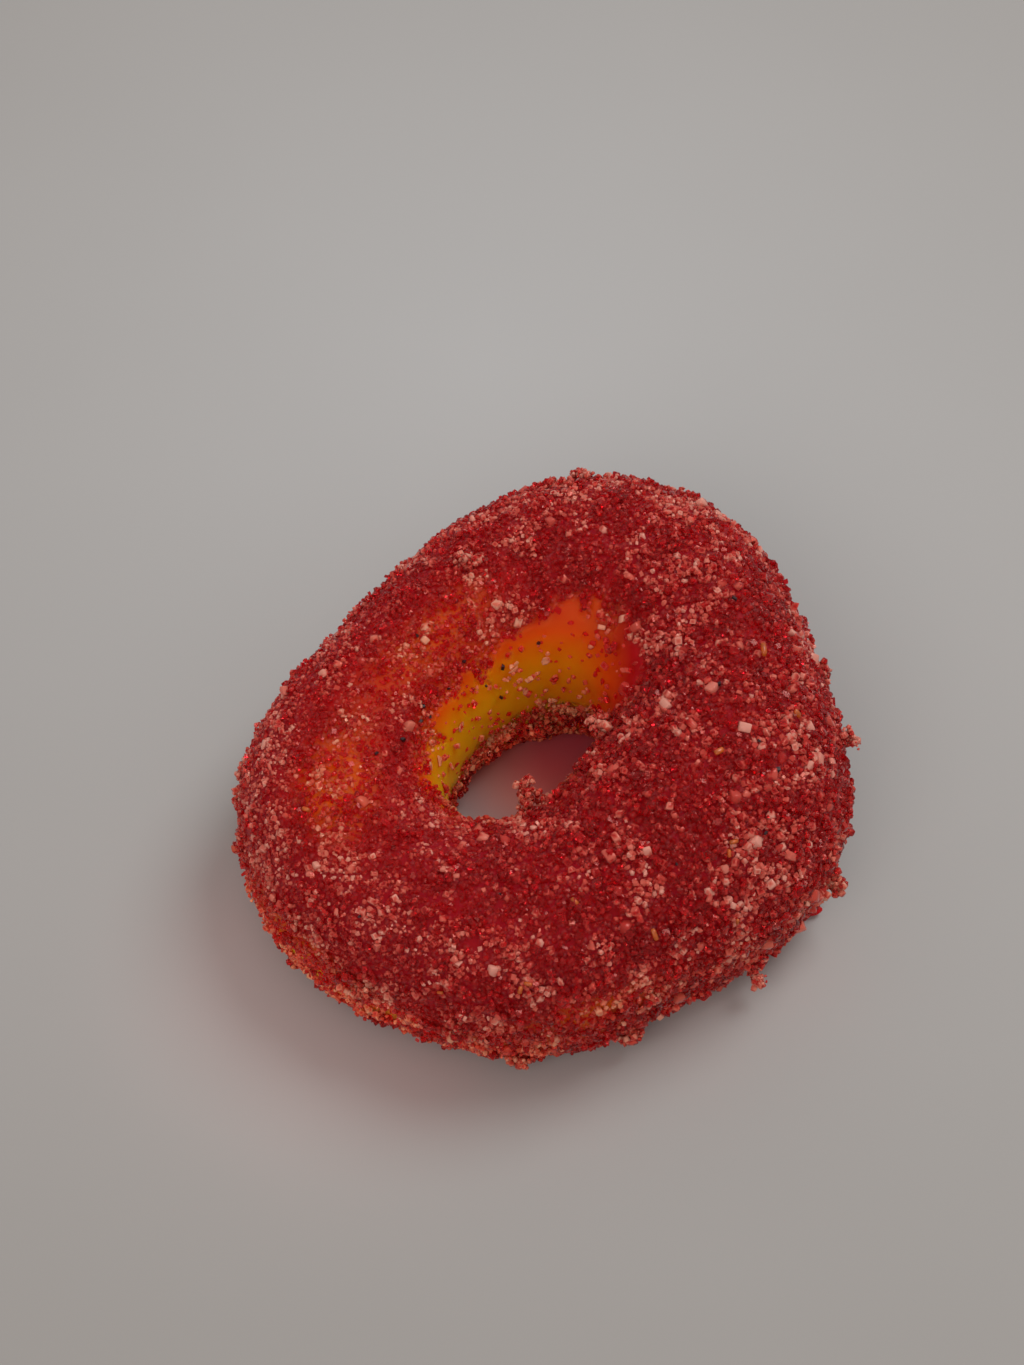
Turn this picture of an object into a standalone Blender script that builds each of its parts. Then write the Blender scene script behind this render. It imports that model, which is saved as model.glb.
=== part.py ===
# Sugared gummy ring: one solid, the gel with its larger sugar crystals fused to it.
# Metres, +Z up. It lies on its flat back at z = 0, and the hole's long axis runs along X.
import math
import random

import bmesh
import bpy
from mathutils import Matrix, Vector, noise

# Seen from above: a round ring pressed out of shape in its bag.
RING_RADIUS = 0.01785
OUTLINE_PRESSES = (  # angle round the ring, spread in degrees, how far out (+) or in (-)
    (-24, 22, -0.00225),
    (21, 30, 0.0022),
    (96, 32, -0.00355),
    (146, 28, 0.0008),
    (206, 30, -0.0017),
    (256, 20, -0.00245),
    (284, 16, -0.0007),
)
HOLE_HALF_LENGTH = 0.0053
HOLE_HALF_WIDTH = 0.0031
HOLE_MIDDLE = Vector((0.0, 0.00146, 0.0))

# The limb's section, which runs from the hole's wall out to the rim.
CROWN_HEIGHT = 0.0114
CROWN_SWELLS = (  # angle, spread, how much higher (+) or lower (-) the crown is there
    (16, 45, 0.0009),
    (206, 45, -0.00135),
    (296, 45, 0.00165),
)
CROWN_PLACE = 0.52  # share of the way from wall to rim
RIM_WAIST = 0.42  # height of the widest place, as a share of the crown's height
WALL_WAIST = 0.36
RIM_FULLNESS = 2.2  # exponents: 2 is an ellipse, more is squarer
WALL_FULLNESS = 2.3
FOOT_FULLNESS = 2.0
RIM_FOOT = 0.0024  # how far the flat back stops short of the rim
WALL_FOOT = 0.0013

# Relief: the gel's slow waves, and the sugar crust's grain where it is sugared.
WAVE_SIZE = 0.0052
WAVE_DEPTH = 0.00022
CRUST_SIZE = 0.0009
CRUST_DEPTH = 0.0006
CRUST_RISE = 0.2  # how much more of the crust's relief stands out than in
RELIEF_FADE = 0.0022  # height over which the relief fades in, since the back stays flat
BARE_WALL = (1.56, 2.05)  # stretch of the section with no sugar, as section_point counts it
BARE_MIDDLE = 68  # degrees; the bare stretch lies on the hole's far wall
BARE_REACH = 100  # degrees to each side of that
BARE_END_SLOPE = 60  # degrees in which it narrows by one stretch at its ends
BARE_RISE = (12, 24, 0.14)  # angle, spread, how much further up the wall it goes there
BARE_SOFTNESS = 0.12
BARE_RAGGED = ((5, 1.0, 0.05), (11, 0.0, 0.03))  # its upper edge: waves round the ring, phase, depth

# The mesh's steps round the ring, and along each stretch of the section.
STEPS_AROUND = 80
STEPS_ALONG = (7, 8, 3, 2, 3)

# Sugar crystals large enough to be shapes of their own.
CRYSTAL_SEED = 41
CRYSTAL_COUNT = 200
CRYSTAL_SPACING = 0.0018
CRYSTAL_SIZES = (0.00062, 0.0009)
CRYSTAL_SUNK = 0.15  # share of its size that a crystal's middle lies below the skin
CRYSTAL_TRIES = 40  # places drawn for each crystal before the ring counts as full
CRYSTAL_SLANT = 0.25  # how far a crystal's top slides aside, as a share of its size
CRYSTAL_TAPER = (0.75, 1.0)
CRYSTAL_WIDTHS = (0.7, 1.0)
CRYSTAL_THICKNESSES = (0.55, 0.9)
CORNERS_BROKEN = 2
CORNER_CUT = 0.72  # share of the way from a crystal's middle to a corner where it is broken off
CLUMP_SEED = 7
CLUMP_SIZES = (0.00045, 0.00066)
CLUMP_SPREAD = 0.3  # greatest step aside from one crystal to the next, as a share of its size
CLUMPS = (  # angle round the ring, place along the section, crystals piled outwards, step outwards
    (136, 0.17, 4, 0.16),
    (38, 0.48, 4, 0.16),
    (67, 0.96, 4, 0.15),
    (332, 0.26, 5, 0.2),
    (317, 0.22, 5, 0.17),
    (294, 4.85, 8, 0.2),
    (274, 4.6, 5, 0.2),
    (244, 4.6, 5, 0.2),
    (220, 4.6, 6, 0.2),
    (190, 0.1, 3, 0.15),
    (314, 1.75, 6, 0.2),
    (227, 1.65, 9, 0.28),
    (40, 2.3, 6, 0.15),
)

# A scrap of gel pressed out at the foot, a long drop that lies on the table.
SCRAP_MIDDLE = Vector((0.006, -0.0141, 0.00038))
SCRAP_HALF_SIZES = Vector((0.0013, 0.0004, 0.00038))
SCRAP_WAY = -37  # degrees from +X, the way that its free end points

GEL_COLOUR = (0.47, 0.02, 0.02, 1.0)
GEL_ROUGHNESS = 0.35
SHARP_ANGLE = 40  # degrees; crystals keep their edges and the gel is smooth

TURN_STEP = 0.01  # radians and stretches, for the skin's slope


def press(turn, presses):
    """Sum of smooth bulges and dents at an angle round the ring."""
    return sum(
        depth * math.exp((math.cos(turn - math.radians(at)) - 1) / math.radians(spread) ** 2)
        for at, spread, depth in presses
    )


def wall_and_rim(turn):
    """The hole's wall and the ring's rim in this direction, as points in plan."""
    way = Vector((math.cos(turn), math.sin(turn), 0))
    reach = math.hypot(HOLE_HALF_WIDTH * way.x, HOLE_HALF_LENGTH * way.y)
    wall = HOLE_MIDDLE + way * (HOLE_HALF_LENGTH * HOLE_HALF_WIDTH / reach)
    rim = way * (RING_RADIUS + press(turn, OUTLINE_PRESSES))
    return wall, rim


def quarter(share, fullness):
    """Point of a superellipse's quarter, from (1, 0) at share 0 to (0, 1) at share 1."""
    angle = share * math.pi / 2
    return abs(math.cos(angle)) ** (2 / fullness), abs(math.sin(angle)) ** (2 / fullness)


def section_point(turn, along):
    """Point of the smooth skin. Along runs 0 rim, 1 crown, 2 wall, 3 and 4 the flat back's edges, 5 rim."""
    wall, rim = wall_and_rim(turn)
    width = (rim - wall).length
    crown = CROWN_HEIGHT + press(turn, CROWN_SWELLS)
    rim_waist, wall_waist = RIM_WAIST * crown, WALL_WAIST * crown
    wall_foot, rim_foot = WALL_FOOT / width, RIM_FOOT / width
    stretch = min(int(along), 4)
    share = along - stretch
    if stretch == 0:
        out, up = quarter(share, RIM_FULLNESS)
        place, height = CROWN_PLACE + (1 - CROWN_PLACE) * out, rim_waist + (crown - rim_waist) * up
    elif stretch == 1:
        up, out = quarter(share, WALL_FULLNESS)
        place, height = CROWN_PLACE * (1 - out), wall_waist + (crown - wall_waist) * up
    elif stretch == 2:
        out, down = quarter(share, FOOT_FULLNESS)
        place, height = wall_foot * (1 - out), wall_waist * (1 - down)
    elif stretch == 3:
        place, height = wall_foot + (1 - rim_foot - wall_foot) * share, 0.0
    else:
        down, out = quarter(share, FOOT_FULLNESS)
        place, height = 1 - rim_foot + rim_foot * out, rim_waist * (1 - down)
    point = wall.lerp(rim, place)
    point.z = height
    return point


def section_normal(turn, along):
    """Unit vector straight out of the smooth skin."""
    round_way = section_point(turn + TURN_STEP, along) - section_point(turn - TURN_STEP, along)
    before, after = max(along - TURN_STEP, 0.0), min(along + TURN_STEP, len(STEPS_ALONG))
    section_way = section_point(turn, after) - section_point(turn, before)
    return round_way.cross(section_way).normalized()


def sugared(turn, along):
    """1 where the crust covers the gel, 0 on the hole's bare wall."""
    ragged = sum(depth * math.sin(waves * turn + phase) for waves, phase, depth in BARE_RAGGED)
    low = BARE_WALL[0] + ragged - press(turn, (BARE_RISE,))
    apart = abs((math.degrees(turn) - BARE_MIDDLE + 180) % 360 - 180)
    inside = min(along - low, BARE_WALL[1] - along, (BARE_REACH - apart) / BARE_END_SLOPE)
    return 1 - min(max(inside / BARE_SOFTNESS, 0.0), 1.0)


def relief(point, crust):
    """How far the skin stands out at a point: waves in the gel, and lumps in the crust."""
    waves = WAVE_DEPTH * noise.noise(point / WAVE_SIZE)
    lumps = CRUST_DEPTH * crust * (CRUST_RISE + noise.noise(point / CRUST_SIZE))
    return (waves + lumps) * min(point.z / RELIEF_FADE, 1.0)


def section_places():
    """Every place along the section that has a row of vertices."""
    return [stretch + step / steps for stretch, steps in enumerate(STEPS_ALONG) for step in range(steps)]


def make_material(name, colour, roughness):
    material = bpy.data.materials.new(name)
    material.use_nodes = True
    shader = material.node_tree.nodes["Principled BSDF"]
    shader.inputs["Base Color"].default_value = colour
    shader.inputs["Roughness"].default_value = roughness
    shader.inputs["Metallic"].default_value = 0.0
    return material


def object_of(shape, name):
    mesh = bpy.data.meshes.new(name)
    shape.to_mesh(mesh)
    shape.free()
    made = bpy.data.objects.new(name, mesh)
    bpy.context.scene.collection.objects.link(made)
    return made


def make_ring():
    """The gel and the crust's relief, as a closed skin of rows round the ring."""
    shape = bmesh.new()
    rows = []
    for along in section_places():
        row = []
        for step in range(STEPS_AROUND):
            turn = 2 * math.pi * step / STEPS_AROUND
            point = section_point(turn, along)
            point += section_normal(turn, along) * relief(point, sugared(turn, along))
            row.append(shape.verts.new(point))
        rows.append(row)
    for row, next_row in zip(rows, rows[1:] + rows[:1]):
        for step in range(STEPS_AROUND):
            after = (step + 1) % STEPS_AROUND
            shape.faces.new((row[step], row[after], next_row[after], next_row[step]))
    return object_of(shape, "gummy_ring")


def make_crystal(draw, size, middle, name):
    """A boxy sugar crystal: a slanted, tapered block with some corners broken off."""
    shape = bmesh.new()
    bmesh.ops.create_cube(shape, size=1.0)
    slant, taper = draw.uniform(-CRYSTAL_SLANT, CRYSTAL_SLANT), draw.uniform(*CRYSTAL_TAPER)
    proportions = Vector((1.0, draw.uniform(*CRYSTAL_WIDTHS), draw.uniform(*CRYSTAL_THICKNESSES)))
    for vertex in shape.verts:
        if vertex.co.z > 0:
            vertex.co.x = vertex.co.x * taper + slant
            vertex.co.y *= taper
        vertex.co = vertex.co * proportions * size
    for _ in range(CORNERS_BROKEN):
        corner = draw.choice(shape.verts[:]).co.copy()
        cut = bmesh.ops.bisect_plane(
            shape,
            geom=shape.verts[:] + shape.edges[:] + shape.faces[:],
            plane_co=corner * CORNER_CUT,
            plane_no=corner.normalized(),
            clear_outer=True,
        )
        edges = [item for item in cut["geom_cut"] if isinstance(item, bmesh.types.BMEdge)]
        bmesh.ops.contextual_create(shape, geom=edges)
        shape.verts.ensure_lookup_table()
    turned = Matrix.Identity(4)
    for axis in "XYZ":
        turned = turned @ Matrix.Rotation(draw.uniform(0, 2 * math.pi), 4, axis)
    bmesh.ops.transform(shape, matrix=Matrix.Translation(middle) @ turned, verts=shape.verts)
    bmesh.ops.recalc_face_normals(shape, faces=shape.faces)
    return object_of(shape, name)


def crystal_places(draw):
    """Middles and sizes of the single crystals, spread evenly over what is sugared."""
    places = []
    tries = 0
    while len(places) < CRYSTAL_COUNT and tries < CRYSTAL_TRIES * CRYSTAL_COUNT:
        tries += 1
        turn, along = draw.uniform(0, 2 * math.pi), draw.uniform(0, len(STEPS_ALONG))
        size = draw.uniform(*CRYSTAL_SIZES)
        point, normal = section_point(turn, along), section_normal(turn, along)
        middle = point - normal * CRYSTAL_SUNK * size
        clear = all((middle - other).length > CRYSTAL_SPACING for other, _ in places)
        if clear and sugared(turn, along) > 0.9 and middle.z > size:
            places.append((middle, size))
    return places


def clump_places(draw):
    """Middles and sizes of the crystals piled up in clumps, each overlapping the one before."""
    places = []
    for at, along, count, rise in CLUMPS:
        turn = math.radians(at)
        normal = section_normal(turn, along)
        middle = section_point(turn, along)
        for _ in range(count):
            size = draw.uniform(*CLUMP_SIZES)
            aside = Vector((draw.uniform(-1, 1), draw.uniform(-1, 1), draw.uniform(-1, 1)))
            middle = middle + (normal * rise + aside * CLUMP_SPREAD) * size
            middle.z = max(middle.z, size)
            places.append((middle.copy(), size))
    return places


def make_crystals():
    """The single crystals and the clumps' crystals."""
    draw = random.Random(CRYSTAL_SEED)
    places = crystal_places(draw) + clump_places(random.Random(CLUMP_SEED))
    return [
        make_crystal(draw, size, middle, f"crystal_{number}")
        for number, (middle, size) in enumerate(places)
    ]


def make_scrap():
    """The drop of gel at the foot, with its inner end inside the ring."""
    shape = bmesh.new()
    bmesh.ops.create_icosphere(shape, subdivisions=2, radius=1.0)
    bmesh.ops.scale(shape, vec=SCRAP_HALF_SIZES, verts=shape.verts)
    turned = Matrix.Rotation(math.radians(SCRAP_WAY), 4, "Z")
    bmesh.ops.transform(shape, matrix=Matrix.Translation(SCRAP_MIDDLE) @ turned, verts=shape.verts)
    return object_of(shape, "scrap")


def fuse(ring, pieces):
    """Joins the pieces to the ring, so that the sweet stays one solid."""
    joined = bpy.data.collections.new("joined")
    bpy.context.scene.collection.children.link(joined)
    for piece in pieces:
        bpy.context.scene.collection.objects.unlink(piece)
        joined.objects.link(piece)
    union = ring.modifiers.new("joined", "BOOLEAN")
    union.operation = "UNION"
    union.operand_type = "COLLECTION"
    union.collection = joined
    union.solver = "EXACT"
    bpy.context.view_layer.objects.active = ring
    bpy.ops.object.modifier_apply(modifier=union.name)
    for piece in pieces:
        bpy.data.objects.remove(piece)
    bpy.data.collections.remove(joined)


def centre_on_base(ring):
    """Moves the ring's mesh so that the middle of its box's base is the origin."""
    points = [vertex.co for vertex in ring.data.vertices]
    low = Vector(min(point[axis] for point in points) for axis in range(3))
    high = Vector(max(point[axis] for point in points) for axis in range(3))
    middle = (low + high) / 2
    ring.data.transform(Matrix.Translation((-middle.x, -middle.y, -low.z)))


def main():
    for old in bpy.data.objects[:]:
        bpy.data.objects.remove(old)
    ring = make_ring()
    fuse(ring, make_crystals() + [make_scrap()])
    centre_on_base(ring)
    ring.data.materials.clear()
    ring.data.materials.append(make_material("sugared_gel", GEL_COLOUR, GEL_ROUGHNESS))
    ring.data.shade_smooth()
    ring.data.set_sharp_from_angle(angle=math.radians(SHARP_ANGLE))


main()
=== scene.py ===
import math
import random

import bmesh
import bpy
import numpy as np
from mathutils import Matrix, Vector, kdtree, noise


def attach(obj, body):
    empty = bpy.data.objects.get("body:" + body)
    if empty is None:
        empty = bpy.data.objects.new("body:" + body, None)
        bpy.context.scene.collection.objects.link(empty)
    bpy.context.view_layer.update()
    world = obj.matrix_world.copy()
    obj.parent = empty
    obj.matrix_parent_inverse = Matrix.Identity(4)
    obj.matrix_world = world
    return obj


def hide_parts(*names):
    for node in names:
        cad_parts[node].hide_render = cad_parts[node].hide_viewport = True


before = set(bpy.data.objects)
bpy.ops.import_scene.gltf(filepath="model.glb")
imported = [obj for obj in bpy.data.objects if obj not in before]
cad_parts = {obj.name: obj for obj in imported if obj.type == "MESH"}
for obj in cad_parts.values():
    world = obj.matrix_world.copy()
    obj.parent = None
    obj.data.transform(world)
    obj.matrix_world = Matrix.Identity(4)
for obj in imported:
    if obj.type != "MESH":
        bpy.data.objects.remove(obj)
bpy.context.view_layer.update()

# The ring's form in metres, the same as the solid's. Angles run round the ring from the hole's long axis.
ringForm = {
    "middle": (-0.000904, 0.00046),  # the ring's own centre in the frame
    "radius": 0.01785,
    "outlinePresses": (  # angle, spread in degrees, how far out (+) or in (-)
        (-24, 22, -0.00225),
        (21, 30, 0.0022),
        (96, 32, -0.00355),
        (146, 28, 0.0008),
        (206, 30, -0.0017),
        (256, 20, -0.00245),
        (284, 16, -0.0007),
    ),
    "holeHalfLength": 0.0053,
    "holeHalfWidth": 0.0031,
    "holeMiddle": (0.0, 0.00146),
    "crownHeight": 0.0114,
    "crownSwells": ((16, 45, 0.0009), (206, 45, -0.00135), (296, 45, 0.00165)),
    "crownPlace": 0.52,  # share of the way from wall to rim
    "rimWaist": 0.42,
    "wallWaist": 0.36,
    "rimFullness": 2.2,
    "wallFullness": 2.3,
    "footFullness": 2.0,
    "rimFoot": 0.0024,
    "wallFoot": 0.0013,
}


def press(turn, presses):
    total = np.zeros_like(turn)
    for at, spread, depth in presses:
        total += depth * np.exp((np.cos(turn - math.radians(at)) - 1) / math.radians(spread) ** 2)
    return total


def quarter(share, fullness):
    angle = share * math.pi / 2
    return np.abs(np.cos(angle)) ** (2 / fullness), np.abs(np.sin(angle)) ** (2 / fullness)


def skinPoint(turn, along):
    # along runs 0 rim, 1 crown, 2 wall, 3 and 4 the flat back's edges, 5 rim again
    form = ringForm
    way = np.stack([np.cos(turn), np.sin(turn)], -1)
    length, width = form["holeHalfLength"], form["holeHalfWidth"]
    reach = length * width / np.hypot(width * way[:, 0], length * way[:, 1])
    wall = np.array(form["holeMiddle"]) + way * reach[:, None]
    rim = way * (form["radius"] + press(turn, form["outlinePresses"]))[:, None]
    across = np.linalg.norm(rim - wall, axis=1)
    crown = form["crownHeight"] + press(turn, form["crownSwells"])
    rimWaist, wallWaist = form["rimWaist"] * crown, form["wallWaist"] * crown
    rimFoot, wallFoot = form["rimFoot"] / across, form["wallFoot"] / across
    top = form["crownPlace"]

    stretch = np.clip(along.astype(int), 0, 4)
    share = along - stretch
    rimOut, rimUp = quarter(share, form["rimFullness"])
    wallUp, wallOut = quarter(share, form["wallFullness"])
    footOut, footDown = quarter(share, form["footFullness"])
    place = np.choose(stretch, [
        top + (1 - top) * rimOut,
        top * (1 - wallOut),
        wallFoot * (1 - footOut),
        wallFoot + (1 - rimFoot - wallFoot) * share,
        1 - rimFoot + rimFoot * footDown,
    ])
    height = np.choose(stretch, [
        rimWaist + (crown - rimWaist) * rimUp,
        wallWaist + (crown - wallWaist) * wallUp,
        wallWaist * (1 - footDown),
        np.zeros_like(share),
        rimWaist * (1 - footOut),
    ])
    flat = wall + (rim - wall) * place[:, None] + np.array(form["middle"])
    return np.column_stack([flat, height])


def skinSlopes(turn, along, step=0.01):
    roundWay = (skinPoint(turn + step, along) - skinPoint(turn - step, along)) / (2 * step)
    before, after = np.maximum(along - step, 0), np.minimum(along + step, 5)
    sectionWay = (skinPoint(turn, after) - skinPoint(turn, before)) / (after - before)[:, None]
    return roundWay, sectionWay


def unit(vectors):
    return vectors / np.maximum(np.linalg.norm(vectors, axis=1), 1e-12)[:, None]


def skinNormal(turn, along):
    return unit(np.cross(*skinSlopes(turn, along)))


def lumps(points, size, offset=0.0):
    aside = Vector((offset, 0, 0))
    return np.array([noise.noise(Vector(point) / size + aside) for point in points.tolist()])


def angleApart(turn, at):
    return np.degrees(np.abs((turn - math.radians(at) + math.pi) % (2 * math.pi) - math.pi))


def swell(value, middle, spread):
    return np.exp(-(((value - middle) / spread) ** 2))


def ease(value, low, high):
    share = np.clip((value - low) / (high - low), 0, 1)
    return share * share * (3 - 2 * share)


# Where the sugar lies. Places along the section count its stretches, as in skinPoint.
crust = {
    "bareMiddle": 68,  # angle of the middle of the hole's bare wall
    "bareReach": 100,  # degrees to each side
    "bareEndSlope": 60,  # degrees in which it narrows by one stretch at its ends
    "bareFrom": 1.56,
    "bareTo": 2.05,
    "bareRise": (12, 24, 0.14),  # angle, spread, how much further up the wall it goes there
    "bareFade": (-0.02, 0.05),
    "edgeWaves": ((0.05, 5, 1.0), (0.03, 11, 0.0)),  # height, number round the ring, start
    "edgeLumps": (0.2, 0.001),  # height and size
    "lowEdge": 0.4,  # share of the waves that the lower edge has
    "sprinkle": 0.08,  # share of the grains that still stick to the bare wall
    "patchSize": 0.0024,
    "patchFade": (-0.4, 0.3),
    "thinnest": 0.62,  # cover in the crust's thinnest patches
    "thinMost": 0.85,  # the most that the thin places below take away
    "backCover": 0.6,
    "thinPlaces": (  # angle, place along the section, spreads, how much of the cover is gone
        (138, 1.15, 42, 0.34, 0.2),
        (256, 1.22, 16, 0.2, 0.45),
        (290, 1.04, 13, 0.16, 0.4),
        (326, 0.8, 13, 0.2, 0.4),
        (202, 0.84, 18, 0.2, 0.45),
        (231, 0.87, 13, 0.18, 0.3),
        (20, 1.3, 25, 0.16, 0.3),
        (38, 1.08, 16, 0.18, 0.35),
        (345, 0.86, 10, 0.16, 0.4),
    ),
    "dryPlaces": (  # the same, where the grains lie drier and paler
        (125, 0.42, 40, 0.4, 1.1),
        (170, 0.42, 32, 0.45, 0.8),
        (30, 0.62, 30, 0.2, 0.35),
        (66, 0.9, 16, 0.16, 0.3),
        (345, 1.15, 20, 0.2, 0.5),
        (290, 0.55, 30, 0.22, 0.25),
        (298, 1.5, 30, 0.2, 0.4),
        (150, 0.22, 40, 0.2, 0.5),
        (312, 0.25, 20, 0.2, -0.4),
        (250, 1.5, 35, 0.16, 0.25),
    ),
}

# How far each part of the gel is from crimson (0) over orange to yellow (1)
gelHues = {
    "plain": 0.1,
    "wallFade": (1.3, 1.84),  # where the top's colour gives way to the wall's
    "wallStart": -100,
    "wall": (  # angle round the ring and hue on the hole's wall: the gel's own yellow layer, and partly painted shade, darker and redder toward the wall's shaded end at low angles
        (-100, 0.12), (-62, 0.12), (-40, 0.22), (-20, 0.34), (-4, 0.47), (16, 0.7), (50, 0.84),
        (115, 0.9), (165, 0.92), (205, 0.4), (260, 0.12),
    ),
    "glows": (  # angle, place along the section, spreads, how much more orange; a painted glow of light shining through the gel
        (158, 0.98, 18, 0.28, 0.34),
        (120, 1.15, 25, 0.3, 0.16),
        (84, 1.2, 30, 0.22, 0.28),
        (20, 1.42, 22, 0.14, 0.2),
        (236, 0.15, 14, 0.14, 0.3),
        (173, 0.08, 16, 0.16, 0.3),
    ),
    "lowRim": 0.12,
    "lowRimFrom": (4.35, 4.85),
    "lowRimTo": (4.9, 5.0),
    "lowRimAbove": (0.05, 0.12),  # middle and spread
    "back": 0.55,
    "backFrom": (2.9, 3.1),
    "backTo": (3.7, 4.3),
}


def placesSum(turn, along, places):
    total = np.zeros_like(turn)
    for at, place, spread, reach, strength in places:
        total += strength * swell(angleApart(turn, at), 0, spread) * swell(along, place, reach)
    return total


def sugarCover(turn, along, points, patchy=1.0):
    waves = sum(height * np.sin(number * turn + start) for height, number, start in crust["edgeWaves"])
    lumpHeight, lumpSize = crust["edgeLumps"]
    ragged = waves + lumpHeight * lumps(points, lumpSize, 3)
    low = crust["bareFrom"] + ragged - press(turn, (crust["bareRise"],))
    inside = np.minimum(along - low, crust["bareTo"] + crust["lowEdge"] * ragged - along)
    ends = (crust["bareReach"] - angleApart(turn, crust["bareMiddle"])) / crust["bareEndSlope"]
    bare = ease(np.minimum(inside, ends), *crust["bareFade"])
    patch = ease(lumps(points, crust["patchSize"]), *crust["patchFade"])
    cover = crust["thinnest"] + (1 - crust["thinnest"]) * patch
    cover = cover * (1 - np.clip(placesSum(turn, along, crust["thinPlaces"]), 0, crust["thinMost"]))
    cover = 1 - patchy * (1 - cover)
    cover = np.where((along > 3) & (along < 4), crust["backCover"] * cover, cover)
    return cover * (1 - bare) + crust["sprinkle"] * bare


dryness = {
    "clusterSizes": (0.0021, 0.0008),  # coarse and fine
    "fineShare": 0.6,
    "clusterFade": (-0.15, 0.4),
    "thinShare": 0.9,  # how much the thin places count against the dry ones
    "patchShare": 0.3,  # how dry a dry place is between its clusters
}


def grainDryness(turn, along, points):
    # 0 where the grains are wet with gel, 1 where they lie pale on the crust
    coarse, fine = dryness["clusterSizes"]
    clusters = lumps(points, coarse, 21) + dryness["fineShare"] * lumps(points, fine, 27)
    clusters = ease(clusters, *dryness["clusterFade"])
    thin = placesSum(turn, along, crust["thinPlaces"])
    patches = placesSum(turn, along, crust["dryPlaces"]) - dryness["thinShare"] * thin
    return np.clip(clusters * (1 + patches) + dryness["patchShare"] * patches, 0, 1)


def gelHue(turn, along):
    look = gelHues
    wall = ease(along, *look["wallFade"])
    degrees = np.degrees(turn - math.radians(look["wallStart"])) % 360 + look["wallStart"]
    wallHue = np.interp(degrees, *zip(*look["wall"]))
    # the glows add a painted glow of light through the gel to the hue
    hue = look["plain"] * (1 - wall) + wallHue * wall + (1 - wall) * placesSum(turn, along, look["glows"])
    low = ease(along, *look["lowRimFrom"]) * (1 - ease(along, *look["lowRimTo"]))
    low = low + swell(along, *look["lowRimAbove"])
    hue = hue + look["lowRim"] * low
    back = ease(along, *look["backFrom"]) * (1 - ease(along, *look["backTo"]))
    return np.clip(hue * (1 - back) + look["back"] * back, 0, 1)


def meshObject(name, mesh, material):
    made = bpy.data.objects.new(name, mesh)
    bpy.context.scene.collection.objects.link(made)
    made.data.materials.append(material)
    return made


def pointAttribute(mesh, name, values):
    layer = mesh.attributes.new(name, "FLOAT", "POINT")
    layer.data.foreach_set("value", np.ascontiguousarray(values, dtype=np.float32))


def newMaterial(name):
    material = bpy.data.materials.new(name)
    material.use_nodes = True
    tree = material.node_tree
    return material, tree.nodes, tree.links, tree.nodes["Principled BSDF"]


def addRamp(nodes, stops):
    ramp = nodes.new("ShaderNodeValToRGB")
    elements = ramp.color_ramp.elements
    while len(elements) < len(stops):
        elements.new(0.5)
    for element, (place, colour) in zip(elements, stops):
        element.position = place
        element.color = (*colour, 1)
    return ramp


def addNoise(nodes, links, scale, detail=3.0, roughness=0.5):
    coordinates = nodes.new("ShaderNodeTexCoord")
    texture = nodes.new("ShaderNodeTexNoise")
    texture.inputs["Scale"].default_value = scale
    texture.inputs["Detail"].default_value = detail
    texture.inputs["Roughness"].default_value = roughness
    links.new(coordinates.outputs["Object"], texture.inputs["Vector"])
    return texture


def addAttribute(nodes, name):
    attribute = nodes.new("ShaderNodeAttribute")
    attribute.attribute_name = name
    return attribute


def addRange(nodes, links, value, low, high):
    share = nodes.new("ShaderNodeMapRange")
    share.inputs["From Min"].default_value = low
    share.inputs["From Max"].default_value = high
    links.new(value, share.inputs["Value"])
    return share.outputs["Result"]


def addDistance(nodes, links, spot):
    apart = nodes.new("ShaderNodeVectorMath")
    apart.operation = "DISTANCE"
    apart.inputs[1].default_value = spot
    links.new(nodes.new("ShaderNodeTexCoord").outputs["Object"], apart.inputs[0])
    return apart.outputs["Value"]


def multiplied(nodes, links, first, second):
    mix = nodes.new("ShaderNodeMix")
    mix.data_type = "RGBA"
    mix.blend_type = "MULTIPLY"
    mix.inputs["Factor"].default_value = 1.0
    links.new(first, mix.inputs["A"])
    links.new(second, mix.inputs["B"])
    return mix.outputs["Result"]


# The gel
gel = {
    "stepsAround": 380,
    "stepsAlong": 150,
    "draftRing": 0.011,  # a plain ring that then takes the form, its radius and its section's
    "draftSection": 0.005,
    "draftEdges": (0, 0.27, 0.56, 0.68, 0.86, 1.0),  # where round its section each stretch begins
    "sunk": 0.00016,  # how far the gel lies under the crust's own level
    "backLift": 0.00034,  # the sugar under the flat back
    "waveSize": 0.0052,
    "waveDepth": 0.00022,
    "rippleSize": 0.0011,
    "rippleDepth": 0.00004,
    "calmHeight": 0.0022,  # below it they fade out towards the table
    "stops": (
        (0.0, (0.31, 0.001, 0.011)),
        (0.22, (0.46, 0.004, 0.006)),
        (0.45, (0.80, 0.085, 0.003)),
        (0.7, (0.84, 0.24, 0.002)),
        (1.0, (0.86, 0.42, 0.004)),
    ),
    "softness": 0.8,
    "bedScale": 3100,  # wet grains bedded in the gel, a third of a millimetre across
    "bedTint": (0.62, 0.10, 0.085),
    "bedShare": 0.4,
    "bedFade": (0.62, 0.12),  # from between the bedded grains to their middles
    "bedDepth": 0.00016,
    "bedStrength": 0.9,
    "grainScale": 1800,
    "grainDepth": 0.00004,
    "grainStrength": 0.25,
    "roughness": 0.45,
    "softDepth": 0.0045,
    "softColours": (1.0, 0.2, 0.1),  # how far red, green and blue light spread, against each other
    "refraction": 1.45,
    "shine": 0.3,
    "shineTint": (1.0, 0.3, 0.25, 1.0),
}


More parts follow.
